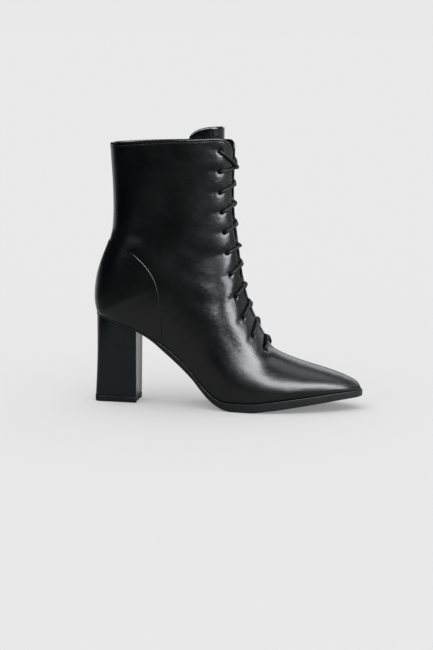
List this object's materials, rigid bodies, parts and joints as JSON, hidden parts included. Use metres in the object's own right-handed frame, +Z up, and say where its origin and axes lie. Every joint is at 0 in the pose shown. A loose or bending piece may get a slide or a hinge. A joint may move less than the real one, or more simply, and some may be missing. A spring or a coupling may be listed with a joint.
{
  "type": "lace-up ankle boot",
  "caption": "Right lace-up ankle boot with a pointed toe, tall block heel, heel counter, tongue and criss-cross laces.",
  "frame": {"origin": "middle of the boot's box on the floor it stands on", "axes": "+X towards the toe, +Y towards the inner side of the right foot, +Z up"},
  "size_m": [0.2556, 0.0824, 0.2616],
  "materials": {
    "leather": "smooth black box leather, semi-gloss",
    "tongue_leather": "smooth black leather, semi-gloss",
    "lining": "dark matt lining leather",
    "sole_rubber": "matt charcoal moulded edge",
    "heel_cover": "dark slate lacquer, satin",
    "heel_rubber": "matt black rubber",
    "cord": "waxed round braided lace"
  },
  "bodies": {
    "root": {"outsole": "sole_rubber", "heel_block": "heel_cover", "top_piece": "heel_rubber", "insole": "lining", "upper": "leather", "tongue": "tongue_leather", "lace_bar": "cord", "lace_cross_01": "cord", "lace_cross_02": "cord", "lace_cross_03": "cord", "lace_cross_04": "cord", "lace_cross_05": "cord", "lace_cross_06": "cord", "lace_cross_07": "cord", "lace_cross_08": "cord", "lace_cross_09": "cord", "lace_cross_10": "cord"}
  },
  "joints": []
}
